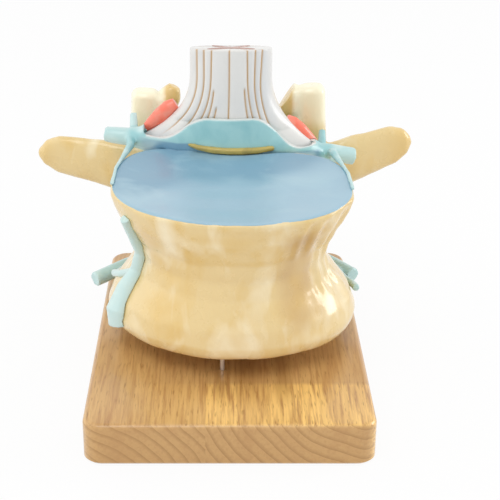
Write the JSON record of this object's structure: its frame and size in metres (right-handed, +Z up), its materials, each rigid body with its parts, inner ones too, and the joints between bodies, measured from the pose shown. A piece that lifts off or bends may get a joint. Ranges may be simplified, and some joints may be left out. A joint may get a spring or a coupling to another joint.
{
  "type": "spine anatomy model",
  "caption": "Enlarged lumbar vertebra teaching model with disc, spinal cord, dural sac and nerves, standing on rods above a varnished wooden board.",
  "frame": {"origin": "middle of the board's flat underside", "axes": "+Z up from the board, -Y towards the viewer of the front, +X to that viewer's right"},
  "size_m": [0.2326, 0.2815, 0.1742],
  "materials": {
    "board_wood": "clear satin varnish over glued light staves",
    "bone_paint": "cream paint with ochre patches under gloss varnish",
    "disc_paint": "grey-blue paint under gloss varnish",
    "cord_paint": "white paint with thin brown grooves under gloss varnish",
    "grey_matter_paint": "pinkish brown paint",
    "dura_paint": "light teal paint under gloss varnish",
    "ganglion_paint": "coral paint under gloss varnish",
    "ligament_paint": "olive paint under gloss varnish",
    "trunk_paint": "pale mint paint under gloss varnish",
    "rod_steel": "plain drawn steel",
    "hardware_steel": "bright zinc plate"
  },
  "bodies": {
    "root": {"base_board": "board_wood", "lumbar_vertebra": "bone_paint", "intervertebral_disc": "disc_paint", "spinal_cord": "cord_paint", "grey_matter": "grey_matter_paint", "dural_sac": "dura_paint", "left_ganglion": "ganglion_paint", "right_ganglion": "ganglion_paint", "posterior_ligament": "ligament_paint", "sympathetic_trunk": "trunk_paint", "front_support_rod": "rod_steel", "front_washer": "hardware_steel", "front_nut": "hardware_steel", "rear_left_support_rod": "rod_steel", "rear_left_washer": "hardware_steel", "rear_left_nut": "hardware_steel", "rear_right_support_rod": "rod_steel", "rear_right_washer": "hardware_steel", "rear_right_nut": "hardware_steel"}
  },
  "joints": []
}
